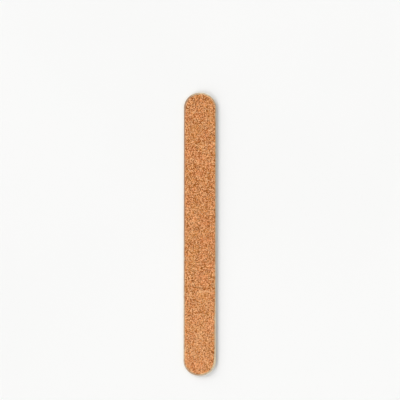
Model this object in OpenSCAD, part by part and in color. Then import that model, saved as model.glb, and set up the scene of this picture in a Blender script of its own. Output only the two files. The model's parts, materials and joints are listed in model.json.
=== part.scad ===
// Emery board: a die-cut strip of cardboard, faced on both sides with abrasive paper.
// The board lies flat: X runs across it, Y along it and Z through its thickness.
// The coarse side is up. The origin is under the middle of the board, on its fine face.

/* [Board] */
// Length over the two rounded ends
board_l = 114.3; // [60:0.1:200]
// Width across the straight sides
board_w = 13; // [8:0.1:30]
// How much larger the radius of an end's crown is than half the width
crown_extra_r = 0.72; // [0.05:0.01:4]
// How much smaller the radius of an end's shoulders is than half the width
shoulder_less_r = 0.45; // [0.05:0.01:2.5]

/* [Core] */
// Thickness of the cardboard core
core_t = 0.6; // [0.3:0.05:3]

/* [Coarse side] */
// Thickness of the glue film that holds the coarse paper to the core
coarse_glue_t = 0.03; // [0.01:0.01:0.1]
// Thickness of the paper that carries the coarse grit
coarse_paper_t = 0.13; // [0.05:0.01:0.4]
// Thickness of the resin coat that the coarse grit is set in
coarse_make_t = 0.05; // [0.02:0.01:0.2]
// Thickness of the layer of coarse grit
coarse_grit_t = 0.19; // [0.05:0.01:0.5]
// Thickness of the resin coat that locks the coarse grit
coarse_size_t = 0.03; // [0.01:0.01:0.1]
// Width of the rim of bare paper that die-cutting leaves round the coarse coating
coarse_bare_rim = 0.25; // [0.05:0.05:0.8]

/* [Fine side] */
// Thickness of the glue film that holds the fine paper to the core
fine_glue_t = 0.03; // [0.01:0.01:0.1]
// Thickness of the paper that carries the fine grit
fine_paper_t = 0.11; // [0.05:0.01:0.4]
// Thickness of the resin coat that the fine grit is set in
fine_make_t = 0.03; // [0.02:0.01:0.2]
// Thickness of the layer of fine grit
fine_grit_t = 0.1; // [0.03:0.01:0.5]
// Thickness of the resin coat that locks the fine grit
fine_size_t = 0.02; // [0.01:0.01:0.1]
// Width of the rim of bare paper that die-cutting leaves round the fine coating
fine_bare_rim = 0.2; // [0.05:0.05:0.8]

/* [Coatings] */
// How far the grit and its upper resin stay back from the edge of the lower resin
grit_setback = 0.1; // [0:0.05:0.4]

/* [Hidden] */
$fn = 96;

// Each end is three arcs: a crown over the middle and a tighter shoulder at each side.
// The arcs meet on the line through their centres, so they run smoothly into each other.
half_w = board_w / 2;
crown_r = half_w + crown_extra_r;
shoulder_r = half_w - shoulder_less_r;
crown_y = board_l / 2 - crown_r;
shoulder_rise = sqrt(crown_extra_r * (crown_extra_r + 2 * shoulder_less_r));
shoulder_y = crown_y + shoulder_rise;
meet_angle = atan2(shoulder_rise, shoulder_less_r);

// Heights of the layers, from the fine face up to the coarse face
fine_grit_z = fine_size_t;
fine_make_z = fine_grit_z + fine_grit_t;
fine_paper_z = fine_make_z + fine_make_t;
fine_glue_z = fine_paper_z + fine_paper_t;
core_z = fine_glue_z + fine_glue_t;
coarse_glue_z = core_z + core_t;
coarse_paper_z = coarse_glue_z + coarse_glue_t;
coarse_make_z = coarse_paper_z + coarse_paper_t;
coarse_grit_z = coarse_make_z + coarse_make_t;
coarse_size_z = coarse_grit_z + coarse_grit_t;

// Colours of the cardboard, papers, resins and grits
cardboard_tan = "#c9bd9d";
paper_cream = "#ddd0ae";
glue_amber = "#d9bf86";
resin_brown = "#b8763f";
coarse_orange = "#cc8a59";
fine_sand = "#d8b083";

// The part of a disc above its centre and between the lines to two points of its rim
module crown(inset) {
    reach = 2 * crown_r;
    intersection() {
        circle(r = crown_r - inset);
        polygon([[0, 0],
                 reach * [cos(meet_angle), sin(meet_angle)],
                 [0, reach],
                 reach * [-cos(meet_angle), sin(meet_angle)]]);
    }
}

// One rounded end, beyond the line through the centres of its shoulders
module rounded_end(inset) {
    translate([0, crown_y])
        crown(inset);
    for (side = [-1, 1])
        translate([side * shoulder_less_r, shoulder_y])
            circle(r = shoulder_r - inset);
}

// The board's outline, drawn in by an even inset all round
module board_outline(inset = 0) {
    square([board_w - 2 * inset, 2 * shoulder_y], center = true);
    rounded_end(inset);
    mirror([0, 1])
        rounded_end(inset);
}

// A flat layer of the board, from height z up, with its edge drawn in by an inset
module layer(z, thickness, inset = 0) {
    translate([0, 0, z])
        linear_extrude(height = thickness)
            board_outline(inset);
}

module core_board() {
    color(cardboard_tan)
        layer(core_z, core_t);
}

module coarse_glue_film() {
    color(glue_amber)
        layer(coarse_glue_z, coarse_glue_t);
}

module coarse_backing_paper() {
    color(paper_cream)
        layer(coarse_paper_z, coarse_paper_t);
}

module coarse_make_coat() {
    color(resin_brown)
        layer(coarse_make_z, coarse_make_t, coarse_bare_rim);
}

module coarse_grit_layer() {
    color(coarse_orange)
        layer(coarse_grit_z, coarse_grit_t, coarse_bare_rim + grit_setback);
}

module coarse_size_coat() {
    color(coarse_orange)
        layer(coarse_size_z, coarse_size_t, coarse_bare_rim + grit_setback);
}

module fine_glue_film() {
    color(glue_amber)
        layer(fine_glue_z, fine_glue_t);
}

module fine_backing_paper() {
    color(paper_cream)
        layer(fine_paper_z, fine_paper_t);
}

module fine_make_coat() {
    color(resin_brown)
        layer(fine_make_z, fine_make_t, fine_bare_rim);
}

module fine_grit_layer() {
    color(fine_sand)
        layer(fine_grit_z, fine_grit_t, fine_bare_rim + grit_setback);
}

module fine_size_coat() {
    color(fine_sand)
        layer(0, fine_size_t, fine_bare_rim + grit_setback);
}

core_board();
coarse_glue_film();
coarse_backing_paper();
coarse_make_coat();
coarse_grit_layer();
coarse_size_coat();
fine_glue_film();
fine_backing_paper();
fine_make_coat();
fine_grit_layer();
fine_size_coat();
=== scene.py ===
"""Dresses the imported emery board: cardboard core, two abrasive papers, their resins and grit.

The board lies flat with its coarse side up. Sizes are in metres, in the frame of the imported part:
X across the board, Y along it and Z through its thickness.
"""

from __future__ import annotations

import json
import logging
import math
from collections.abc import Iterator, Mapping, Sequence
from contextlib import contextmanager
from dataclasses import dataclass
from enum import Enum
from typing import Any, Protocol

import bpy
import numpy as np
from bpy.types import Collection, Material, Node, NodeTree, Object
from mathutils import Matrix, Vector, noise

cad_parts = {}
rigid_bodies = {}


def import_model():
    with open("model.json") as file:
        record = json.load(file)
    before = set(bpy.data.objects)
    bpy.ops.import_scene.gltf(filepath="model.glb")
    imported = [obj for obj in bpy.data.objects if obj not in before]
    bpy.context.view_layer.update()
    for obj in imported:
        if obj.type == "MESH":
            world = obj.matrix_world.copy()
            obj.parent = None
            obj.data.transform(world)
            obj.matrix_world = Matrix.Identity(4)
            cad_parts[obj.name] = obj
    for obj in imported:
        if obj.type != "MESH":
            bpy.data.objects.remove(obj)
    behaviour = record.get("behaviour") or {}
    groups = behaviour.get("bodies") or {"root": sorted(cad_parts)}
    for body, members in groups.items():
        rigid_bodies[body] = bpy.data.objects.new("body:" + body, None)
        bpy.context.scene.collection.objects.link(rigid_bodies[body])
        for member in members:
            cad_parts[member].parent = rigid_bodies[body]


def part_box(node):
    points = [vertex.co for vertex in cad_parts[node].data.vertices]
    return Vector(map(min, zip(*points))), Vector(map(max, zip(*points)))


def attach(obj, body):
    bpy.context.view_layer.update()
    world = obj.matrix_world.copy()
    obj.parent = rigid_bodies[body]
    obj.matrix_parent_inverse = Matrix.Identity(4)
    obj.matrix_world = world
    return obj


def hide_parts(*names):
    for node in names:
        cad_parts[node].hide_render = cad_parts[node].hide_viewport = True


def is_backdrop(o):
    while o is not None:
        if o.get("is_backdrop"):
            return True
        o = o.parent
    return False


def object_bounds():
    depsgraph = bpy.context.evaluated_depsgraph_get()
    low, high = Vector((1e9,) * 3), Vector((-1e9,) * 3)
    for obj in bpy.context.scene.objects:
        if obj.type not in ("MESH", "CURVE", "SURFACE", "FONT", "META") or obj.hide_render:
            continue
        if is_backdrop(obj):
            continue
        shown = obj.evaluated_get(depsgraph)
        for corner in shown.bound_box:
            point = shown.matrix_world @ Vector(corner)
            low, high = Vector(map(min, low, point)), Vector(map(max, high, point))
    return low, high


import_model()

LOG = logging.getLogger("emery_board")
MM = 0.001
FULL_TURN = 2 * math.pi
SAME_PLACE = 1e-3 * MM
TONE = "tone"

Colour = tuple[float, float, float]
Inputs = Mapping[str | int, Any]
Socket = bpy.types.NodeSocket


def srgb(red: float, green: float, blue: float) -> Colour:
    """Turns a colour seen on screen, from 0 to 255, into the linear values that shaders take.

    Args:
        red: Red as seen.
        green: Green as seen.
        blue: Blue as seen.

    Returns:
        The linear colour.
    """
    def straighten(level: float) -> float:
        """Removes the screen's curve from one channel."""
        part = level / 255
        return part / 12.92 if part <= 0.04045 else ((part + 0.055) / 1.055) ** 2.4

    return straighten(red), straighten(green), straighten(blue)


def scaled(colour: Colour, share: float) -> Colour:
    """Makes a colour lighter or darker."""
    red, green, blue = (min(1.0, part * share) for part in colour)
    return red, green, blue


class SharedEffect(Enum):
    """Shader groups that more than one material uses."""

    FIBRES = "paper_fibres"
    MOTTLE = "soft_mottle"


class Sketch:
    """A node tree that is drawn node by node, with links made as each node is added."""

    def __init__(self, tree: NodeTree) -> None:
        """Starts on an emptied tree."""
        self.tree = tree
        tree.nodes.clear()

    def add(self, kind: str, inputs: Inputs | None = None, **settings: Any) -> Node:
        """Adds a node.

        Args:
            kind: The node's type.
            inputs: For each input, a value or the output socket that feeds it.
            settings: The node's own settings.

        Returns:
            The new node.
        """
        node = self.tree.nodes.new(kind)
        for name, value in settings.items():
            setattr(node, name, value)
        for key, value in (inputs or {}).items():
            socket = node.inputs[key]
            if isinstance(value, Socket):
                self.tree.links.new(value, socket)
            else:
                socket.default_value = value
        return node

    def maths(self, operation: str, *values: Any, clamp: bool = False) -> Socket:
        """Adds a sum, product or the like of numbers and sockets, kept from 0 to 1 if clamped."""
        node = self.add("ShaderNodeMath", dict(enumerate(values)), operation=operation, use_clamp=clamp)
        return node.outputs[0]

    def cloud(self, place: Any, scale: Any, detail: float, roughness: float = 0.5) -> Socket:
        """Adds cloudy noise, about 0 to 1."""
        inputs = {"Vector": place, "Scale": scale, "Detail": detail, "Roughness": roughness}
        return self.add("ShaderNodeTexNoise", inputs).outputs[0]

    def blend(self, share: Any, first: Any, second: Any) -> Socket:
        """Mixes two colours.

        Args:
            share: How much of the second colour, from 0 to 1.
            first: A colour or its socket.
            second: A colour or its socket.

        Returns:
            The mixed colour's socket.
        """
        inputs = {0: share}
        for key, colour in ((6, first), (7, second)):
            inputs[key] = (*colour, 1.0) if isinstance(colour, tuple) else colour
        return self.add("ShaderNodeMix", inputs, data_type="RGBA").outputs[2]

    def step(
        self, value: Any, low: float, high: float, at_low: float = 0.0, at_high: float = 1.0
    ) -> Socket:
        """Rises smoothly from one level to another as a value goes from low to high."""
        inputs = {"Value": value, "From Min": low, "From Max": high, "To Min": at_low, "To Max": at_high}
        return self.add("ShaderNodeMapRange", inputs, interpolation_type="SMOOTHSTEP").outputs[0]

    def profile(self, value: Any, stops: Sequence[tuple[float, float]]) -> Socket:
        """Goes through given levels as a value passes given points.

        Args:
            value: The value's socket.
            stops: Each point, in rising order, with its level from 0 to 1.

        Returns:
            The level's socket.
        """
        first = stops[0][0]
        last = stops[-1][0]
        share = self.add("ShaderNodeMapRange", {"Value": value, "From Min": first, "From Max": last})
        ramp = self.add("ShaderNodeValToRGB", {0: share.outputs[0]})
        elements = ramp.color_ramp.elements
        for _ in stops[2:]:
            elements.new(0.5)
        for element, (point, level) in zip(elements, stops):
            element.position = (point - first) / (last - first)
            element.color = (level, level, level, 1.0)
        return ramp.outputs[0]


class MaterialSketch(Sketch):
    """A sketch of a material, which ends in a Principled shader."""

    def __init__(self, name: str) -> None:
        """Starts a material with its Object coordinates.

        Args:
            name: The material's name.
        """
        self.material = bpy.data.materials.new(name)
        self.material.use_nodes = True
        super().__init__(self.material.node_tree)
        self.place = self.add("ShaderNodeTexCoord").outputs["Object"]

    def group(self, effect: SharedEffect, scale: float) -> Node:
        """Places a shared group at a scale."""
        inputs = {"Vector": self.place, "Scale": scale}
        return self.add("ShaderNodeGroup", inputs, node_tree=bpy.data.node_groups[effect.value])

    def mottle(self, scale: float) -> Socket:
        """Places soft patches of tone, from -1 to 1."""
        return self.group(SharedEffect.MOTTLE, scale).outputs[0]

    def close(self, inputs: Inputs, height: Socket | None = None, depth: float = 0.0) -> Material:
        """Ends the material in its shader.

        Args:
            inputs: The shader's values or sockets.
            height: The socket of a bump's height, if there is one.
            depth: How deep the bump is.

        Returns:
            The material.
        """
        if height is not None:
            bump = self.add("ShaderNodeBump", {"Height": height, "Distance": depth})
            inputs = {**inputs, "Normal": bump.outputs[0]}
        shader = self.add("ShaderNodeBsdfPrincipled", inputs)
        self.add("ShaderNodeOutputMaterial", {"Surface": shader.outputs[0]})
        return self.material


def open_group(effect: SharedEffect, *outputs: str) -> tuple[Sketch, Socket, Socket]:
    """Starts a shader group that takes a place and a scale.

    Args:
        effect: The group.
        outputs: The name of each value that it puts out.

    Returns:
        A sketch in the group, and the sockets of the place and of the scale.
    """
    tree = bpy.data.node_groups.new(effect.value, "ShaderNodeTree")
    tree.interface.new_socket("Vector", in_out="INPUT", socket_type="NodeSocketVector")
    tree.interface.new_socket("Scale", in_out="INPUT", socket_type="NodeSocketFloat")
    for name in outputs:
        tree.interface.new_socket(name, in_out="OUTPUT", socket_type="NodeSocketFloat")
    sketch = Sketch(tree)
    given = sketch.add("NodeGroupInput")
    return sketch, given.outputs["Vector"], given.outputs["Scale"]


def draw_fibres() -> None:
    """Draws the group for short crossing fibres, as in paper and cardboard."""
    sketch, place, scale = open_group(SharedEffect.FIBRES, "Mask", "Height")
    strands = []
    for turn, stretch in ((0.35, 7.0), (1.75, 9.0), (2.7, 6.0)):
        inputs = {"Vector": place, "Rotation": (0, 0, turn), "Scale": (1, stretch, stretch)}
        laid = sketch.add("ShaderNodeMapping", inputs).outputs[0]
        strands.append(sketch.step(sketch.cloud(laid, scale, 3.0, 0.6), 0.52, 0.72))
    pair = sketch.maths("MAXIMUM", strands[0], strands[1])
    mask = sketch.maths("MAXIMUM", pair, strands[2])
    height = sketch.maths("ADD", mask, sketch.cloud(place, scale, 5.0))
    sketch.add("NodeGroupOutput", {"Mask": mask, "Height": height})


def draw_mottle() -> None:
    """Draws the group for soft patches of tone, from -1 to 1."""
    sketch, place, scale = open_group(SharedEffect.MOTTLE, "Patch")
    patch = sketch.step(sketch.cloud(place, scale, 2.0), 0.3, 0.7, -1.0, 1.0)
    sketch.add("NodeGroupOutput", {"Patch": patch})


class Finish(Protocol):
    """Anything that can make a material."""

    def make(self) -> Material:
        """Makes the material."""


@dataclass(frozen=True)
class CardboardFinish:
    """Grey-cream pasteboard, whose cut edge shows its plies and torn fibres."""

    name: str
    base: Colour
    ply_line: Colour
    lowest: float
    ply_height: float
    roughness: float = 0.9
    fibre_scale: float = 2600.0
    patch_scale: float = 700.0
    break_scale: float = 2200.0
    pale_fibre: float = 1.3
    relief: float = 0.012 * MM

    def make(self) -> Material:
        """Makes the material.

        Returns:
            The material.
        """
        sketch = MaterialSketch(self.name)
        fibres = sketch.group(SharedEffect.FIBRES, self.fibre_scale)
        patches = sketch.mottle(self.patch_scale)
        breaks = sketch.mottle(self.break_scale)
        height = sketch.add("ShaderNodeSeparateXYZ", {0: sketch.place}).outputs["Z"]
        raised = sketch.maths("DIVIDE", sketch.maths("SUBTRACT", height, self.lowest), self.ply_height)
        waved = sketch.maths("MULTIPLY_ADD", patches, 0.1, raised)
        plies = sketch.maths("MULTIPLY_ADD", breaks, 0.07, waved)
        line = sketch.step(sketch.maths("PINGPONG", plies, 0.5), 0.02, 0.2, 0.8, 0.0)
        broken = sketch.maths("MULTIPLY", line, sketch.step(breaks, -0.9, 0.3, 0.25, 1.0))
        ground = sketch.blend(fibres.outputs["Mask"], self.base, scaled(self.base, self.pale_fibre))
        dimmed = sketch.blend(sketch.step(patches, -1.0, 1.0, 0.2, 0.0), ground, self.ply_line)
        colour = sketch.blend(broken, dimmed, self.ply_line)
        inputs = {"Base Color": colour, "Roughness": self.roughness}
        return sketch.close(inputs, fibres.outputs["Height"], self.relief)


@dataclass(frozen=True)
class PaperFinish:
    """Cream kraft paper, stained by the resin that it carries, and darkened where given to paint the shade
    on its rim.
    """

    name: str
    base: Colour
    stain_and_shade: Colour
    stain_and_shade_along: Sequence[tuple[float, float]]
    stain_side: float = 0.0
    side_reach: float = 4 * MM
    patchiness: float = 0.2
    roughness: float = 0.85
    fibre_scale: float = 700.0
    patch_scale: float = 900.0
    pale_fibre: float = 1.15
    relief: float = 0.008 * MM

    def make(self) -> Material:
        """Makes the material.

        Returns:
            The material.
        """
        sketch = MaterialSketch(self.name)
        fibres = sketch.group(SharedEffect.FIBRES, self.fibre_scale)
        where = sketch.add("ShaderNodeSeparateXYZ", {0: sketch.place})
        along = sketch.profile(where.outputs["Y"], self.stain_and_shade_along)
        across = sketch.step(where.outputs["X"], -self.side_reach, self.side_reach, self.stain_side, 0.0)
        darkening = sketch.maths("ADD", along, across)
        patches = sketch.mottle(self.patch_scale)
        share = sketch.maths("MULTIPLY_ADD", patches, self.patchiness, darkening, clamp=True)
        ground = sketch.blend(fibres.outputs["Mask"], self.base, scaled(self.base, self.pale_fibre))
        inputs = {"Base Color": sketch.blend(share, ground, self.stain_and_shade), "Roughness": self.roughness}
        return sketch.close(inputs, fibres.outputs["Height"], self.relief)


@dataclass(frozen=True)
class ResinFinish:
    """Cured resin: a satin film with soft patches of tone."""

    name: str
    base: Colour
    deep: Colour
    patch_scale: float
    roughness: float = 0.45
    duller: float = 0.12
    glossier: float = 0.08
    ripple_scale: float = 6000.0
    relief: float = 0.01 * MM

    def make(self) -> Material:
        """Makes the material.

        Returns:
            The material.
        """
        sketch = MaterialSketch(self.name)
        patches = sketch.mottle(self.patch_scale)
        colour = sketch.blend(sketch.step(patches, -1.0, 1.0), self.deep, self.base)
        dull = self.roughness + self.duller
        rough = sketch.step(patches, -1.0, 1.0, dull, self.roughness - self.glossier)
        ripple = sketch.cloud(sketch.place, self.ripple_scale, 3.0)
        inputs = {"Base Color": colour, "Roughness": rough, "Specular IOR Level": 0.3}
        return sketch.close(inputs, ripple, self.relief)


@dataclass(frozen=True)
class GrainFinish:
    """Abrasive grains: each has its own tone, in soft patches that run redder or more ochre."""

    name: str
    dark: Colour
    middle: Colour
    light: Colour
    red: Colour
    ochre: Colour
    roughness: float = 0.45
    duller: float = 0.15
    glossier: float = 0.1
    hue_share: float = 0.22
    hue_scale: float = 200.0
    chip_scale: float = 12000.0
    relief: float = 0.006 * MM

    def make(self) -> Material:
        """Makes the material.

        Returns:
            The material.
        """
        sketch = MaterialSketch(self.name)
        tone = sketch.add("ShaderNodeAttribute", attribute_name=TONE).outputs["Fac"]
        deep = sketch.blend(sketch.step(tone, 0.0, 0.5), self.dark, self.middle)
        body = sketch.blend(sketch.step(tone, 0.5, 1.0), deep, self.light)
        hue = sketch.mottle(self.hue_scale)
        warm = sketch.blend(sketch.step(hue, 0.1, 1.0, 0.0, self.hue_share), body, self.red)
        colour = sketch.blend(sketch.step(hue, -0.1, -1.0, 0.0, self.hue_share), warm, self.ochre)
        chips = sketch.cloud(sketch.place, self.chip_scale, 2.0)
        gloss = self.roughness - self.glossier
        rough = sketch.step(tone, 0.0, 1.0, gloss, self.roughness + self.duller)
        inputs = {"Base Color": colour, "Roughness": rough, "Specular IOR Level": 0.25}
        return sketch.close(inputs, chips, self.relief)


@dataclass(frozen=True)
class FloorFinish:
    """A matt pale floor with a faint unevenness."""

    name: str
    base: Colour
    patch_scale: float = 9.0
    dim_patch: float = 0.99

    def make(self) -> Material:
        """Makes the material.

        Returns:
            The material.
        """
        sketch = MaterialSketch(self.name)
        share = sketch.step(sketch.mottle(self.patch_scale), -1.0, 1.0)
        colour = sketch.blend(share, scaled(self.base, self.dim_patch), self.base)
        return sketch.close({"Base Color": colour, "Roughness": 1.0, "Specular IOR Level": 0.0})


@contextmanager
def editing(mode: str = "VERT", everything: bool = False) -> Iterator[None]:
    """Edits the active mesh, and comes back to object mode.

    Args:
        mode: What is picked: VERT, EDGE or FACE.
        everything: Whether the whole mesh is selected first.
    """
    bpy.ops.object.mode_set(mode="EDIT")
    bpy.ops.mesh.select_mode(type=mode)
    if everything:
        bpy.ops.mesh.select_all(action="SELECT")
    try:
        yield
    finally:
        bpy.ops.object.mode_set(mode="OBJECT")


def read(items: Any, name: str, width: int = 1, kind: Any = float) -> np.ndarray:
    """Reads a property of every vertex, edge, corner or face of a mesh.

    Args:
        items: The mesh's vertices, edges, corners or faces.
        name: The property.
        width: How many numbers it has for each item.
        kind: The numbers' type.

    Returns:
        One number per item, or one row of numbers.
    """
    flat = np.empty(len(items) * width, kind)
    items.foreach_get(name, flat)
    return flat if width == 1 else flat.reshape(-1, width)


def places_of(piece: Object) -> np.ndarray:
    """Gives a piece's vertices, as one row of X, Y and Z each."""
    return read(piece.data.vertices, "co", 3)


def move_to(piece: Object, places: np.ndarray) -> None:
    """Moves a piece's vertices to new places, given as one row of X, Y and Z each."""
    piece.data.vertices.foreach_set("co", places.ravel())
    piece.data.update()


def pick_vertices(piece: Object, chosen: np.ndarray) -> None:
    """Selects vertices by place, for the next edit.

    Args:
        piece: The piece, in object mode.
        chosen: True for each vertex to select.
    """
    mesh = piece.data
    for items in (mesh.polygons, mesh.edges):
        items.foreach_set("select", np.zeros(len(items), bool))
    mesh.vertices.foreach_set("select", chosen)


@dataclass(frozen=True)
class BoardOutline:
    """The die-cut outline: straight sides, and ends of three arcs that meet smoothly."""

    half_width: float
    half_length: float
    crown_extra: float = 0.72 * MM
    shoulder_less: float = 0.45 * MM

    @property
    def crown_radius(self) -> float:
        """Radius of the arc over the middle of an end."""
        return self.half_width + self.crown_extra

    @property
    def shoulder_radius(self) -> float:
        """Radius of the arc at each side of an end."""
        return self.half_width - self.shoulder_less

    @property
    def crown_y(self) -> float:
        """Height of the crown's centre."""
        return self.half_length - self.crown_radius

    @property
    def shoulder_y(self) -> float:
        """Height of the shoulders' centres, where the straight sides end."""
        return self.crown_y + math.sqrt(self.crown_extra * (self.crown_extra + 2 * self.shoulder_less))

    @property
    def meet_angle(self) -> float:
        """Angle from +X at which a shoulder meets the crown."""
        return math.atan2(self.shoulder_y - self.crown_y, self.shoulder_less)

    @property
    def crown_angle(self) -> float:
        """Angle of the crown's arc from the tip to where it meets a shoulder."""
        return math.pi / 2 - self.meet_angle

    @property
    def half_way_round(self) -> float:
        """Length of the edge from one tip to the other."""
        end = self.crown_radius * self.crown_angle + self.shoulder_radius * self.meet_angle
        return 2 * (end + self.shoulder_y)

    def way_round(self, places: np.ndarray, side: np.ndarray) -> np.ndarray:
        """Says how far round the edge some places on it lie, from the head's tip down one side.

        Args:
            places: One row of X, Y and Z per place.
            side: 1 where the way goes down the right side, and -1 where it goes down the left.

        Returns:
            One distance per place.
        """
        across = places[:, 0] * side
        along = np.abs(places[:, 1])
        from_tip = np.arctan2(across, along - self.crown_y)
        lift = np.arctan2(along - self.shoulder_y, np.abs(across - self.shoulder_less))
        crown = self.crown_radius * np.minimum(from_tip, self.crown_angle)
        shoulder = self.shoulder_radius * (self.meet_angle - np.clip(lift, 0, self.meet_angle))
        straight = np.clip(self.shoulder_y - along, 0, None)
        way = crown + np.where(from_tip > self.crown_angle, shoulder + straight, 0)
        return np.where(places[:, 1] > 0, way, self.half_way_round - way)

    def depth(self, places: np.ndarray) -> tuple[np.ndarray, np.ndarray]:
        """Says how far inside the outline some places lie.

        Args:
            places: One row of X and Y, or X, Y and Z, per place.

        Returns:
            The distance to the outline, more than 0 inside, and the direction straight outwards.
        """
        side = np.abs(places[:, 0])
        along = np.abs(places[:, 1])
        from_shoulder = np.stack([side - self.shoulder_less, along - self.shoulder_y], 1)
        from_crown = np.stack([side, along - self.crown_y], 1)
        angle = np.arctan2(from_shoulder[:, 1], from_shoulder[:, 0])
        on_shoulder = (along > self.shoulder_y) & (angle < self.meet_angle) & (side > self.shoulder_less)
        on_crown = (along > self.shoulder_y) & ~on_shoulder
        depth = self.half_width - side
        outward = np.zeros_like(from_crown)
        outward[:, 0] = 1
        for on_arc, from_centre, radius in (
            (on_shoulder, from_shoulder, self.shoulder_radius),
            (on_crown, from_crown, self.crown_radius),
        ):
            reach = np.linalg.norm(from_centre[on_arc], axis=1)
            depth[on_arc] = radius - reach
            outward[on_arc] = from_centre[on_arc] / reach[:, None]
        outward *= np.where(places[:, :2] < 0, -1, 1)
        return depth, outward

    def lay_blank(self, name: str, height: float, spacing: float) -> Object:
        """Makes one flat face of the board's shape, as by hand: spun ends, joined and filled.

        Args:
            name: The new piece's name.
            height: Its height.
            spacing: About how far apart its edge's points lie.

        Returns:
            The new piece.
        """
        fewest_steps = 2
        bpy.ops.mesh.primitive_plane_add(size=2 * MM)
        piece = bpy.context.object
        piece.name = piece.data.name = name
        with editing(everything=True):
            bpy.ops.mesh.merge(type="CENTER")
            bpy.ops.transform.translate(value=(self.half_width, self.shoulder_y, height))
            for centre_x, centre_y, radius, angle in (
                (self.shoulder_less, self.shoulder_y, self.shoulder_radius, self.meet_angle),
                (0.0, self.crown_y, self.crown_radius, math.pi - 2 * self.meet_angle),
                (-self.shoulder_less, self.shoulder_y, self.shoulder_radius, self.meet_angle),
            ):
                steps = max(fewest_steps, math.ceil(radius * angle / spacing))
                centre = (centre_x, centre_y, height)
                bpy.ops.mesh.spin(steps=steps, angle=angle, center=centre, axis=(0, 0, -1))
            bpy.ops.mesh.select_all(action="SELECT")
            bpy.ops.mesh.duplicate()
            bpy.ops.transform.rotate(value=math.pi, orient_axis="Z", center_override=(0, 0, height))
        for side in (-1, 1):
            pick_vertices(piece, np.abs(places_of(piece)[:, 0] - side * self.half_width) < SAME_PLACE)
            with editing():
                bpy.ops.mesh.edge_face_add()
        self.cut_long_edges(piece, spacing)
        with editing(everything=True):
            bpy.ops.mesh.edge_face_add()
        return piece

    def cut_long_edges(self, piece: Object, spacing: float) -> None:
        """Cuts the two straight sides into short edges.

        Args:
            piece: The blank.
            spacing: About how long each short edge is.
        """
        most_cuts = 100
        too_long = 1.5 * spacing
        pieces_left = math.ceil(2 * self.shoulder_y / spacing)
        while pieces_left > 1:
            ends = places_of(piece)[[tuple(edge.vertices) for edge in piece.data.edges]]
            lengths = np.linalg.norm(ends[:, 0] - ends[:, 1], axis=1)
            parts = min(most_cuts + 1, pieces_left)
            with editing("EDGE"):
                bpy.ops.mesh.select_all(action="DESELECT")
            piece.data.edges.foreach_set("select", lengths > too_long)
            with editing("EDGE"):
                bpy.ops.mesh.subdivide(number_cuts=parts - 1)
            pieces_left = math.ceil(pieces_left / parts)


def extrude_up(piece: Object, levels: Sequence[float]) -> None:
    """Raises a blank into a closed slab, one level after another.

    Args:
        piece: The blank.
        levels: The heights of the rings above the blank, in order.
    """
    level = float(places_of(piece)[0, 2])
    with editing("FACE", everything=True):
        for height in levels:
            move = {"value": (0, 0, height - level)}
            bpy.ops.mesh.extrude_region_move(TRANSFORM_OT_translate=move)
            level = height
        bpy.ops.mesh.select_all(action="SELECT")
        bpy.ops.mesh.normals_make_consistent(inside=False)


def waves(places: np.ndarray, size: float, seed: float, octaves: int = 3) -> np.ndarray:
    """Gives smooth noise at some places, about -1 to 1, whose largest waves have a given size."""
    shift = Vector((seed, -1.7 * seed, 0.6 * seed))
    return np.array([noise.fractal(Vector(p) / size + shift, 0.9, 2.1, octaves) for p in places])


@dataclass(frozen=True)
class RaggedRim:
    """How a coating's edge is chipped back from the board's edge, in large and small chips.

    Each station is a place along the board, and the bare rim's width there on the left and right.
    """

    stations: Sequence[tuple[float, float, float]]
    chips: float
    chip_size: float
    seed: float
    large_size: float = 3.2
    large_more: float = 0.15
    large_share: float = 0.55
    small_more: float = 0.1
    small_share: float = 0.6
    cross_over: float = 10 * MM
    reach: float = 1.5 * MM

    def inset(self, places: np.ndarray) -> np.ndarray:
        """Says how far the coating is drawn in near some places.

        Args:
            places: One row of X, Y and Z per place.

        Returns:
            One distance per place.
        """
        flat = places * (1, 1, 0)
        large = waves(flat, self.large_size * self.chip_size, self.seed) + self.large_more
        small = waves(flat, self.chip_size, self.seed + 5.3) + self.small_more
        chips = self.large_share * np.clip(large, 0, None) + self.small_share * np.clip(small, 0, None)
        along, *widths = np.array(self.stations).T
        left, right = (np.interp(places[:, 1], along, width) for width in widths)
        to_right = np.clip(0.5 + places[:, 0] / self.cross_over, 0, 1)
        return left + (right - left) * to_right + self.chips * chips

    def draw_in(self, piece: Object, outline: BoardOutline, extra: float = 0.0) -> None:
        """Chips a piece's edge back, by moving the vertices that lie near the board's edge.

        Args:
            piece: The piece, whose edge follows the board's outline.
            outline: The board's outline.
            extra: A further inset all round.
        """
        places = places_of(piece)
        depth, outward = outline.depth(places)
        near = np.flatnonzero(depth < self.reach)
        depth = depth[near]
        outward = outward[near]
        on_edge = places[near] + np.pad(outward * depth[:, None], ((0, 0), (0, 1)))
        share = np.clip(1 - depth / self.reach, 0, 1)
        places[near, :2] -= outward * ((self.inset(on_edge) + extra) * share)[:, None]
        move_to(piece, places)


def face_corners(piece: Object) -> tuple[np.ndarray, np.ndarray, np.ndarray]:
    """Reads every corner of a piece's faces.

    Args:
        piece: The piece.

    Returns:
        The corners' places, with the middle and the normal's Z of the face that each is on.
    """
    mesh = piece.data
    counts = read(mesh.polygons, "loop_total", kind=np.int32)
    first = np.concatenate([[0], np.cumsum(counts)[:-1]])
    places = places_of(piece)[read(mesh.loops, "vertex_index", kind=np.int32)]
    middles = np.add.reduceat(places, first, axis=0) / counts[:, None]
    facing = read(mesh.polygons, "normal", 3)[:, 2]
    return places, np.repeat(middles, counts, axis=0), np.repeat(facing, counts)


def lay_map(piece: Object, across: np.ndarray, up: np.ndarray, extent: float) -> None:
    """Gives a piece the map that its finish is baked on, from each corner's place in a square."""
    layer = piece.data.uv_layers.new(name="OFBake")
    layer.uv.foreach_set("vector", (np.stack([across, up], 1) / extent).ravel())


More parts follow.
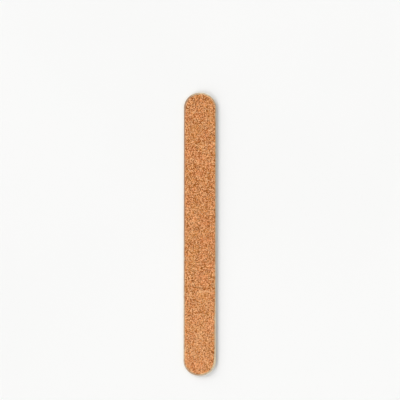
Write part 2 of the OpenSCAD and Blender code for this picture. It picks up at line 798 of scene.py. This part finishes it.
def planar_strips(piece: Object, outline: BoardOutline, hidden_height: float = math.nan) -> None:
    """Maps a piece as seen from above, as strips of the board side by side.

    Args:
        piece: The piece.
        outline: The board's outline.
        hidden_height: The height of a flat face that doesn't show, which is mapped small.
    """
    strips = 3
    gap = 0.4 * MM
    small = 0.05
    level = 0.999
    places, middles, facing = face_corners(piece)
    length = 2 * outline.half_length / strips
    pitch = 2 * outline.half_width + gap
    strip = np.clip((middles[:, 1] + outline.half_length) // length, 0, strips - 1)
    across = places[:, 0] + outline.half_width + gap / 2 + strip * pitch
    up = places[:, 1] + outline.half_length - strip * length + gap
    foot = length + 2 * gap
    below = np.abs(middles[:, 2] - hidden_height) < SAME_PLACE
    hidden = below & (np.abs(facing) > level)
    across[hidden] = (gap + small * (places[:, 1] + outline.half_length))[hidden]
    up[hidden] = (foot + small * (places[:, 0] + outline.half_width))[hidden]
    lay_map(piece, across, up, max(strips * pitch, foot + 2 * small * outline.half_width))


def edge_strips(piece: Object, outline: BoardOutline) -> None:
    """Maps a piece's cut edge as strips one above another, with its hidden faces small.

    Args:
        piece: The piece.
        outline: The board's outline.
    """
    strips = 8
    gap = 0.3 * MM
    small = 0.1
    level = 0.9
    places, middles, facing = face_corners(piece)
    side = np.where(middles[:, 0] < 0, -1, 1)
    way = outline.way_round(places, side)
    length = outline.half_way_round / strips
    strip = np.clip(outline.way_round(middles, side) // length, 0, strips - 1)
    low = places[:, 2].min()
    pitch = places[:, 2].max() - low + gap
    foot = 2 * strips * pitch + gap
    across = way - strip * length + gap
    up = (strip + np.where(side < 0, strips, 0)) * pitch + places[:, 2] - low + gap
    hidden = np.abs(facing) > level
    beside = np.where(facing > 0, 0, 2 * small * outline.half_width + gap)
    across[hidden] = (small * (places[:, 0] + outline.half_width) + beside + gap)[hidden]
    up[hidden] = (foot + small * (places[:, 1] + outline.half_length))[hidden]
    lay_map(piece, across, up, max(foot + 2 * small * outline.half_length + gap, length + 3 * gap))


def dress(piece: Object, finish: Finish, slot: str, *nodes: str) -> None:
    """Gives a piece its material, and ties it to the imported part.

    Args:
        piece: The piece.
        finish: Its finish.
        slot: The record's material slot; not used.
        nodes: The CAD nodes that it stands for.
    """
    piece.data.materials.clear()
    piece.data.materials.append(finish.make())
    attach(piece, "root")
    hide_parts(*nodes)
    triangles = sum(len(face.vertices) - 2 for face in piece.data.polygons)
    LOG.info("%s stands for %s, %d triangles", piece.name, ", ".join(nodes), triangles)


@dataclass
class Layer:
    """One layer of the laminate: the CAD node that it stands for and its looks."""

    node: str
    slot: str
    finish: Finish
    outline: BoardOutline

    def build(self) -> Object:
        """Makes the layer's piece, which each kind of layer does in its own way."""
        raise NotImplementedError

    def dress(self, piece: Object) -> None:
        """Gives the layer's piece its finish."""
        dress(piece, self.finish, self.slot, self.node)


@dataclass
class FlatLayer(Layer):
    """One flat sheet of the laminate, from one height to another, cut to the board's outline."""

    seed: float
    rings: int = 1
    recess: float = 0.0
    roughness: float = 0.0
    wear_size: float = 0.9 * MM
    fray: float = 0.0
    tuft_size: float = 0.3 * MM
    spacing: float = 0.3 * MM
    rim: RaggedRim | None = None
    rounded: float = 0.0
    only_edge_shows: bool = False

    def build(self) -> Object:
        """Makes the sheet and gives it its cut edge.

        Returns:
            The piece.
        """
        low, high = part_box(self.node)
        blank = self.outline.lay_blank(self.node + "_sheet", low.z, self.spacing)
        extrude_up(blank, list(np.linspace(low.z, high.z, self.rings + 1)[1:]))
        if self.rounded:
            self.round_edges(blank, high.z)
        self.roughen_edge(blank)
        if self.rim:
            self.rim.draw_in(blank, self.outline)
        if self.only_edge_shows:
            edge_strips(blank, self.outline)
        return blank

    def round_edges(self, piece: Object, top: float) -> None:
        """Rounds the upper edge over.

        Args:
            piece: The sheet.
            top: The height of its upper face.
        """
        pick_vertices(piece, places_of(piece)[:, 2] > top - SAME_PLACE)
        with editing():
            bpy.ops.mesh.select_mode(type="EDGE")
            bpy.ops.mesh.region_to_loop()
            bpy.ops.mesh.bevel(offset=self.rounded, segments=2, affect="EDGES")

    def roughen_edge(self, piece: Object) -> None:
        """Moves the cut edge in a little, unevenly, so that it stays inside the outline.

        Args:
            piece: The sheet.
        """
        places = places_of(piece)
        outward = self.outline.depth(places)[1]
        low, high = places[:, 2].min(), places[:, 2].max()
        level = np.round((places[:, 2] - low) / (high - low) * self.rings)
        between_plies = (level % 2 == 0) & (level > 0) & (level < self.rings)
        grooves = np.where(between_plies, self.recess, 0.0)
        wear = np.clip(waves(places, self.wear_size, self.seed) + 0.5, 0, 1.5)
        tufts = np.clip(waves(places * (1, 1, 2), self.tuft_size, self.seed + 2.2) + 0.3, 0, 1.2)
        places[:, :2] -= outward * (grooves + wear * self.roughness + tufts * self.fray)[:, None]
        move_to(piece, places)


@dataclass(frozen=True)
class Mark:
    """A scrape or crease across the coating, which fades out beyond its half length and width."""

    across: float
    along: float
    half_length: float
    half_width: float
    tone: float
    sunk: float
    end_fade: float = 1.5
    side_fade: float = 1.6

    def strength(self, places: np.ndarray) -> np.ndarray:
        """Says how strongly the mark shows at some places.

        Args:
            places: One row of X, Y and Z per place.

        Returns:
            One share per place, from 0 to 1.
        """
        reach_x = np.abs(places[:, 0] - self.across) / self.half_length
        reach_y = np.abs(places[:, 1] - self.along) / self.half_width
        return np.clip(self.end_fade - reach_x, 0, 1) * np.clip(self.side_fade - reach_y, 0, 1)


@dataclass
class GrainBed(Layer):
    """The coarse grit: separate sharp grains, strewn over the lower resin."""

    rim: RaggedRim
    setback: float
    crowded: float
    top: float
    marks: Sequence[Mark]
    grain: float = 0.43 * MM
    smallest: float = 0.75
    largest: float = 1.3
    spacing: float = 0.275 * MM
    bed_spacing: float = 0.17 * MM
    sunk: float = 0.05 * MM
    edge_margin: float = 0.02 * MM
    own_tone: float = 0.84
    mean_tone: float = 0.63
    clump: float = 0.45 * MM
    clump_tone: float = 0.26
    patch: float = 2.5 * MM
    patch_tone: float = 0.07
    cloud_range: float = 0.2
    drift: float = 0.25
    drift_from: float = -18 * MM
    drift_to: float = -34 * MM
    seed: int = 7
    shapes: int = 6
    proportions: tuple[float, float, float] = (1.0, 0.85, 0.75)
    sharpness: float = 0.17

    def build(self) -> Object:
        """Strews the grains.

        Returns:
            The piece.
        """
        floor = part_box(self.node)[0].z
        bed = self.outline.lay_blank(self.node + "_grains", floor + self.sunk, self.bed_spacing)
        self.rim.draw_in(bed, self.outline, self.setback)
        shards = self.knap_shards()
        strew = bed.modifiers.new("strew", "NODES")
        strew.node_group = self.strewing(shards)
        bpy.context.view_layer.objects.active = bed
        bpy.ops.object.modifier_apply(modifier=strew.name)
        for shard in list(shards.objects):
            bpy.data.objects.remove(shard)
        bpy.data.collections.remove(shards)
        self.settle(bed)
        planar_strips(bed, self.outline)
        return bed

    def knap_shards(self) -> Collection:
        """Makes a few grains of different shape, as crushed stone breaks.

        Returns:
            The collection that holds them.
        """
        shards = bpy.data.collections.new("shards")
        bpy.context.scene.collection.children.link(shards)
        for index in range(self.shapes):
            bpy.ops.mesh.primitive_uv_sphere_add(segments=3 + index % 3, ring_count=2, radius=0.5)
            shard = bpy.context.object
            with editing(everything=True):
                bpy.ops.transform.resize(value=self.proportions)
                bpy.ops.transform.vertex_random(
                    offset=self.sharpness, uniform=0.5, seed=self.seed + index)
            for holder in list(shard.users_collection):
                holder.objects.unlink(shard)
            shards.objects.link(shard)
        return shards

    def strewing(self, shards: Collection) -> NodeTree:
        """Draws the tree that scatters grains over a face.

        Args:
            shards: The grains to choose from.

        Returns:
            The tree.
        """
        tree = bpy.data.node_groups.new("strewing", "GeometryNodeTree")
        for way in ("INPUT", "OUTPUT"):
            tree.interface.new_socket("Geometry", in_out=way, socket_type="NodeSocketGeometry")
        sketch = Sketch(tree)
        more_than_fit = 8 / self.spacing**2
        points = sketch.add(
            "GeometryNodeDistributePointsOnFaces",
            {"Mesh": sketch.add("NodeGroupInput").outputs[0], "Distance Min": self.spacing,
             "Density Max": more_than_fit, "Seed": self.seed},
            distribute_method="POISSON",
        )
        choice = sketch.add(
            "GeometryNodeCollectionInfo",
            {"Collection": shards, "Separate Children": True, "Reset Children": True},
        )
        turn = self.draw_random(sketch, (0, 0, 0), (FULL_TURN,) * 3, 1)
        least, most = self.smallest * self.grain, self.largest * self.grain
        size = self.draw_random(sketch, (least,) * 3, (most,) * 3, 2)
        grains = sketch.add(
            "GeometryNodeInstanceOnPoints",
            {"Points": points.outputs[0], "Instance": choice.outputs[0], "Pick Instance": True,
             "Rotation": turn, "Scale": size},
        )
        tone = sketch.add(
            "GeometryNodeStoreNamedAttribute",
            {"Geometry": grains.outputs[0], "Name": TONE, "Value": self.grain_tone(sketch)},
            domain="INSTANCE",
            data_type="FLOAT",
        )
        solid = sketch.add("GeometryNodeRealizeInstances", {0: tone.outputs[0]})
        sketch.add("NodeGroupOutput", {0: solid.outputs[0]})
        return tree

    def draw_random(self, sketch: Sketch, low: Any, high: Any, shift: int) -> Socket:
        """Adds a random number for each grain, or a random vector between two vectors.

        Args:
            sketch: The tree's sketch.
            low: The least.
            high: The most.
            shift: Added to the seed.

        Returns:
            The number's or the vector's socket.
        """
        kind, first, output = ("FLOAT_VECTOR", 0, 0) if isinstance(low, tuple) else ("FLOAT", 2, 1)
        inputs = {first: low, first + 1: high, 8: self.seed + shift}
        return sketch.add("FunctionNodeRandomValue", inputs, data_type=kind).outputs[output]

    def grain_tone(self, sketch: Sketch) -> Socket:
        """Adds each grain's own tone, about 0 to 1, which neighbours share in part.

        Args:
            sketch: The tree's sketch.

        Returns:
            The tone's socket.
        """
        own = self.draw_random(sketch, -self.own_tone, self.own_tone, 11)
        more = self.draw_random(sketch, -self.own_tone, self.own_tone, 12)
        total = sketch.maths("ADD", own, more)
        for size, share in ((self.clump, self.clump_tone), (self.patch, self.patch_tone)):
            cloud = sketch.add("ShaderNodeTexNoise", {"Scale": 1 / size, "Detail": 1.0})
            level = sketch.maths("SUBTRACT", cloud.outputs[0], 0.5)
            total = sketch.maths("MULTIPLY_ADD", level, share / self.cloud_range, total)
        along = sketch.add("ShaderNodeSeparateXYZ", {0: sketch.add("GeometryNodeInputPosition").outputs[0]})
        paler = sketch.step(along.outputs["Y"], self.drift_to, self.drift_from, self.drift, 0.0)
        total = sketch.maths("ADD", paler, total)
        return sketch.maths("ADD", total, self.mean_tone)

    def settle(self, piece: Object) -> None:
        """Keeps the grains inside the board's thickness and presses the marks in.

        Args:
            piece: The strewn grains.
        """
        places = places_of(piece)
        attribute = piece.data.attributes[TONE]
        tones = read(attribute.data, "value", kind=np.float32)
        for mark in self.marks:
            share = mark.strength(places)
            # A mark's change of tone is painted on the grains; for the dark crease it is painted shade.
            tones += mark.tone * share
            places[:, 2] -= mark.sunk * share
        attribute.data.foreach_set("value", np.clip(tones, 0, 1))
        room = self.top - self.crowded
        rise = np.clip(places[:, 2] - self.crowded, 0, None)
        places[:, 2] = np.minimum(places[:, 2], self.crowded) + room * np.tanh(rise / room)
        depth, outward = self.outline.depth(places)
        over = np.clip(self.edge_margin - depth, 0, None)
        places[:, :2] -= outward * over[:, None]
        move_to(piece, places)


@dataclass
class RoughSheet(Layer):
    """A coat with an uneven face, such as the upper resin or the fine grit."""

    rim: RaggedRim
    setback: float
    cell: float
    flat_side: float
    lowest: float
    highest: float
    seed: int
    jitter: float = 0.3
    tones: float = 0.0
    least_depth: float = 0.25

    def build(self) -> Object:
        """Makes the sheet.

        Returns:
            The piece.
        """
        width = 2 * self.outline.half_width
        length = 2 * self.outline.half_length
        columns = round(width / self.cell)
        rows = round(length / self.cell)
        bpy.ops.mesh.primitive_grid_add(x_subdivisions=columns, y_subdivisions=rows, size=1.0)
        sheet = bpy.context.object
        sheet.name = sheet.data.name = self.node + "_coat"
        places = places_of(sheet) * (width, length, 0)
        places[:, 2] = self.flat_side
        move_to(sheet, places)
        self.trim(sheet)
        self.rim.draw_in(sheet, self.outline, self.setback)
        self.close_shell(sheet)
        if self.tones:
            self.tint_faces(sheet)
        planar_strips(sheet, self.outline, self.flat_side)
        return sheet

    def trim(self, sheet: Object) -> None:
        """Cuts the grid to the board's outline and fits its edge to it.

        Args:
            sheet: The grid.
        """
        pick_vertices(sheet, self.outline.depth(places_of(sheet))[0] < self.least_depth * self.cell)
        with editing():
            bpy.ops.mesh.delete(type="VERT")
            bpy.ops.mesh.select_all(action="SELECT")
            bpy.ops.mesh.region_to_loop()
        edge = read(sheet.data.vertices, "select", kind=bool)
        places = places_of(sheet)
        depth, outward = self.outline.depth(places)
        places[edge, :2] += (outward * depth[:, None])[edge]
        draw = np.random.default_rng(self.seed)
        nudge = draw.uniform(-self.jitter, self.jitter, (len(places), 2)) * self.cell
        places[:, :2] += nudge * ~edge[:, None]
        move_to(sheet, places)

    def close_shell(self, sheet: Object) -> None:
        """Gives the sheet its thickness, a flat underside and an uneven face.

        Args:
            sheet: The trimmed grid.
        """
        draw = np.random.default_rng(self.seed + 1)
        raised = len(sheet.data.vertices)
        with editing(everything=True):
            bpy.ops.mesh.region_to_loop()
            drop = {"value": (0, 0, 0.01 * MM)}
            bpy.ops.mesh.extrude_edges_move(TRANSFORM_OT_translate=drop)
            bpy.ops.mesh.edge_face_add()
        places = places_of(sheet)
        places[raised:, 2] = self.flat_side
        places[:raised, 2] = draw.beta(2.0, 2.0, raised) * (self.highest - self.lowest) + self.lowest
        move_to(sheet, places)
        with editing("FACE", everything=True):
            bpy.ops.mesh.normals_make_consistent(inside=False)
            bpy.ops.mesh.quads_convert_to_tris(quad_method="SHORTEST_DIAGONAL", ngon_method="BEAUTY")

    def tint_faces(self, sheet: Object) -> None:
        """Gives each face its own tone, as if each were one side of a grain.

        Args:
            sheet: The closed sheet.
        """
        draw = np.random.default_rng(self.seed + 2)
        mesh = sheet.data
        clumps = waves(read(mesh.polygons, "center", 3), 3 * self.cell, self.seed, 1)
        own = draw.normal(0.5, self.tones, len(clumps))
        attribute = mesh.attributes.new(TONE, "FLOAT", "FACE")
        attribute.data.foreach_set("value", np.clip(own + self.tones * clumps, 0, 1))


@dataclass(frozen=True)
class SoftLamp:
    """A broad, even lamp on one side of the board, at an angle round from +X."""

    name: str
    side_angle: float
    level: float
    height_angle: float
    spread: float
    stand_off: float = 0.5

    def build(self) -> None:
        """Sets the lamp up, so that a white floor gets the given level of light from it."""
        reach = math.cos(self.height_angle)
        across = reach * math.cos(self.side_angle)
        along = reach * math.sin(self.side_angle)
        away = Vector((across, along, math.sin(self.height_angle)))
        bpy.ops.object.light_add(type="SUN", location=away * self.stand_off)
        lamp = bpy.context.object
        lamp.name = self.name
        lamp.rotation_mode = "QUATERNION"
        lamp.rotation_quaternion = away.to_track_quat("Z", "Y")
        lamp.data.angle = self.spread
        lamp.data.energy = self.level * math.pi / math.sin(self.height_angle)


@dataclass
class Studio:
    """The plain floor, the soft light and the camera of the photograph."""

    field_width: float = 161.5 * MM
    view_shift_y: float = 13.83 * MM
    view_shift_x: float = 0.04 * MM
    lens: float = 135.0
    sensor: float = 36.0
    lean: float = math.radians(0.1)
    ambient: float = 0.4
    lamps: Sequence[SoftLamp] = (
        SoftLamp("key_from_head", math.radians(137), 0.3, math.radians(26), math.radians(44)),
        SoftLamp("key_from_foot", math.radians(223), 0.21, math.radians(26), math.radians(44)),
        SoftLamp("fill_light", 0.0, 0.1, math.radians(52), math.radians(40)),
    )
    floor_size: float = 12.0
    floor_colour: Colour = srgb(249, 249, 248)

    def build(self) -> None:
        """Sets everything up."""
        self.lay_floor()
        self.light()
        self.place_camera()

    def lay_floor(self) -> None:
        """Lays the floor under the board."""
        bpy.ops.mesh.primitive_plane_add(size=self.floor_size)
        floor = bpy.context.object
        floor.name = "floor"
        floor.data.materials.append(FloorFinish("pale_floor", self.floor_colour).make())
        floor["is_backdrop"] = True

    def light(self) -> None:
        """Lights the board mostly from its left, with soft light all round."""
        for lamp in self.lamps:
            lamp.build()
        world = bpy.data.worlds.new("studio")
        bpy.context.scene.world = world
        world.use_nodes = True
        sketch = Sketch(world.node_tree)
        path = sketch.add("ShaderNodeLightPath")
        seen = sketch.maths("MAXIMUM", path.outputs["Is Camera Ray"], path.outputs["Is Glossy Ray"])
        seen = sketch.maths("MAXIMUM", seen, path.outputs["Is Transmission Ray"])
        fill = sketch.add("ShaderNodeBackground", {"Color": (1, 1, 1, 1), "Strength": self.ambient})
        drop = sketch.add("ShaderNodeBackground", {"Color": (*self.floor_colour, 1), "Strength": 1.0})
        both = sketch.add("ShaderNodeMixShader", {0: seen, 1: fill.outputs[0], 2: drop.outputs[0]})
        sketch.add("ShaderNodeOutputWorld", {"Surface": both.outputs[0]})

    def place_camera(self) -> None:
        """Looks straight down, with the board upright in the picture."""
        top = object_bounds()[1].z
        distance = self.field_width * self.lens / self.sensor
        bpy.ops.object.camera_add(location=(self.view_shift_x, self.view_shift_y, top + distance))
        camera = bpy.context.object
        camera.name = "camera"
        camera.rotation_euler = (0, 0, self.lean)
        camera.data.lens = self.lens
        camera.data.sensor_width = self.sensor
        camera.data.clip_start = 0.01
        camera.data.clip_end = 100
        bpy.context.scene.camera = camera
        bpy.context.scene.view_settings.view_transform = "Standard"


@dataclass
class EmeryBoard:
    """The whole board: its core, and a paper with glue, resins and grit on each side."""

    outline: BoardOutline
    coarse_rim: RaggedRim = RaggedRim(
        chips=0.26 * MM, chip_size=0.5 * MM, seed=3.1,
        stations=(
            (-55.5 * MM, 0.6 * MM, 0.66 * MM),
            (-53 * MM, 0.55 * MM, 0.8 * MM),
            (-48 * MM, 0.49 * MM, 0.46 * MM),
            (-38 * MM, 0.49 * MM, 0.46 * MM),
            (-25 * MM, 0.49 * MM, 0.36 * MM),
            (47 * MM, 0.49 * MM, 0.36 * MM),
            (54 * MM, 0.7 * MM, 0.45 * MM),
        ),
    )
    fine_rim: RaggedRim = RaggedRim(
        chips=0.2 * MM, chip_size=0.4 * MM, seed=8.4,
        stations=((0.0, 0.06 * MM, 0.06 * MM),),
    )
    # Each mark's place across and along, half length, half width, change of tone and depth:
    # the pale crease and the scuff above it, the dark crease with two scuffs, and two small nicks.
    # The dark crease's darker tone is painted shade, for the shade that falls in it.
    marks: Sequence[Mark] = (
        Mark(2.3 * MM, -23.2 * MM, 2.7 * MM, 0.3 * MM, 2.4, -0.08 * MM),
        Mark(2.3 * MM, -21.8 * MM, 2.7 * MM, 0.6 * MM, -0.32, 0.0),
        # Painted shade: this crease's grains are darkened as well as sunk, to stand for the shade inside
        # it.
        Mark(-1.0 * MM, -31.72 * MM, 1.2 * MM, 0.17 * MM, -2.6, 0.1 * MM),
        Mark(-1.0 * MM, -31.85 * MM, 1.2 * MM, 0.65 * MM, 0.6, 0.0),
        Mark(-1.7 * MM, -31.59 * MM, 3.1 * MM, 0.14 * MM, -0.4, 0.02 * MM),
        Mark(0.65 * MM, -45.6 * MM, 1.5 * MM, 0.2 * MM, 0.6, 0.02 * MM),
        Mark(1.6 * MM, 13.6 * MM, 0.4 * MM, 0.35 * MM, -1.2, 0.05 * MM),
    )

    def layers(self) -> list[FlatLayer]:
        """Lists the flat layers from the core outwards.

        Returns:
            The layers.
        """
        cardboard = CardboardFinish(
            "cardboard_core", base=srgb(152, 140, 116), ply_line=srgb(104, 92, 72),
            lowest=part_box("core_board")[0].z, ply_height=0.12 * MM)
        glue = ResinFinish("dried_glue", srgb(214, 186, 130), srgb(190, 158, 104), 900.0, 0.5)
        coarse_paper = PaperFinish(
            "cream_paper", base=srgb(222, 206, 172), stain_and_shade=srgb(168, 132, 101), stain_side=0.5,
            # Darker towards the foot's tip: there the darkening is painted shade on the rim; elsewhere
            # along the board it is stain.
            stain_and_shade_along=((-56.7 * MM, 0.38), (-55.2 * MM, 0.28), (-53.2 * MM, 0.12), (-34 * MM, 0.12),
                         (8 * MM, 0.55), (54 * MM, 0.55), (56.6 * MM, 0.15)))
        fine_paper = PaperFinish(
            "cream_fine_paper", base=srgb(226, 212, 180), stain_and_shade=srgb(206, 172, 130),
            stain_and_shade_along=((-57 * MM, 0.3), (57 * MM, 0.2)))
        make = ResinFinish("brown_resin", srgb(190, 122, 72), srgb(160, 96, 52), 1200.0)
        pale_make = ResinFinish("pale_resin", srgb(206, 150, 100), srgb(184, 128, 82), 1200.0)
        shape = self.outline
        return [
            FlatLayer("core_board", "core_board", cardboard, shape, seed=1.0, rings=10, recess=0.014 * MM,
                      roughness=0.016 * MM, fray=0.022 * MM, spacing=0.2 * MM, only_edge_shows=True),
            FlatLayer("coarse_glue_film", "laminating_glue", glue, shape, seed=2.0,
                      roughness=0.03 * MM, only_edge_shows=True),
            FlatLayer("fine_glue_film", "laminating_glue", glue, shape, seed=3.0,
                      roughness=0.03 * MM, only_edge_shows=True),
            FlatLayer("coarse_backing_paper", "backing_paper", coarse_paper, shape, seed=4.0, rings=2,
                      roughness=0.012 * MM, rounded=0.035 * MM),
            FlatLayer("fine_backing_paper", "backing_paper", fine_paper, shape, seed=5.0, rings=2,
                      roughness=0.012 * MM),
            FlatLayer("coarse_make_coat", "make_coat", make, shape, seed=6.0, spacing=0.17 * MM,
                      rim=self.coarse_rim),
            FlatLayer("fine_make_coat", "make_coat", pale_make, shape, seed=7.0, spacing=0.17 * MM,
                      rim=self.fine_rim),
        ]

    def coatings(self) -> list[Layer]:
        """Lists the coats that the grit is in.

        Returns:
            The coats.
        """
        grains = GrainFinish(
            "coarse_grains", dark=srgb(161, 92, 15), middle=srgb(244, 172, 101),
            light=srgb(255, 203, 147), red=srgb(250, 156, 98), ochre=srgb(238, 172, 92))
        resin = ResinFinish("coarse_glaze", srgb(208, 126, 62), srgb(148, 82, 36), 3000.0, 0.4)
        fine_grains = GrainFinish(
            "fine_grains", dark=srgb(170, 120, 76), middle=srgb(226, 182, 134),
            light=srgb(250, 224, 186), red=srgb(228, 176, 132), ochre=srgb(222, 184, 128), roughness=0.6)
        fine_resin = ResinFinish("fine_glaze", srgb(220, 172, 124), srgb(204, 154, 106), 3000.0, 0.4)
        shape = self.outline
        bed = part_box("coarse_grit_layer")[0].z
        film_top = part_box("coarse_size_coat")[1].z
        fine_low, fine_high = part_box("fine_grit_layer")
        fine_film_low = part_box("fine_size_coat")[0]
        return [
            GrainBed("coarse_grit_layer", "coarse_grit", grains, shape, self.coarse_rim,
                     setback=0.12 * MM, crowded=film_top - 0.1 * MM, top=film_top, marks=self.marks),
            RoughSheet("coarse_size_coat", "coarse_size_coat", resin, shape, self.coarse_rim,
                       setback=0.06 * MM, cell=0.2 * MM, flat_side=bed,
                       lowest=bed + 0.01 * MM, highest=bed + 0.08 * MM, seed=21),
            RoughSheet("fine_grit_layer", "fine_grit", fine_grains, shape, self.fine_rim,
                       setback=0.1 * MM, cell=0.14 * MM, flat_side=fine_high.z,
                       lowest=fine_high.z - 0.02 * MM, highest=fine_film_low.z, seed=31,
                       jitter=0.45, tones=0.3),
            RoughSheet("fine_size_coat", "fine_size_coat", fine_resin, shape, self.fine_rim,
                       setback=0.06 * MM, cell=0.25 * MM, flat_side=fine_high.z,
                       lowest=fine_high.z - 0.01 * MM, highest=fine_low.z + 0.02 * MM, seed=41),
        ]

    def build(self) -> None:
        """Builds and dresses every piece."""
        for part in [*self.layers(), *self.coatings()]:
            part.dress(part.build())


def main() -> None:
    """Builds the studio and the board, and reports each piece."""
    logging.basicConfig(level=logging.INFO, format="%(message)s")
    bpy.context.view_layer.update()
    draw_fibres()
    draw_mottle()
    Studio().build()
    outline = BoardOutline(half_width=6.5 * MM, half_length=57.15 * MM)
    EmeryBoard(outline).build()


if __name__ == "__main__":
    main()
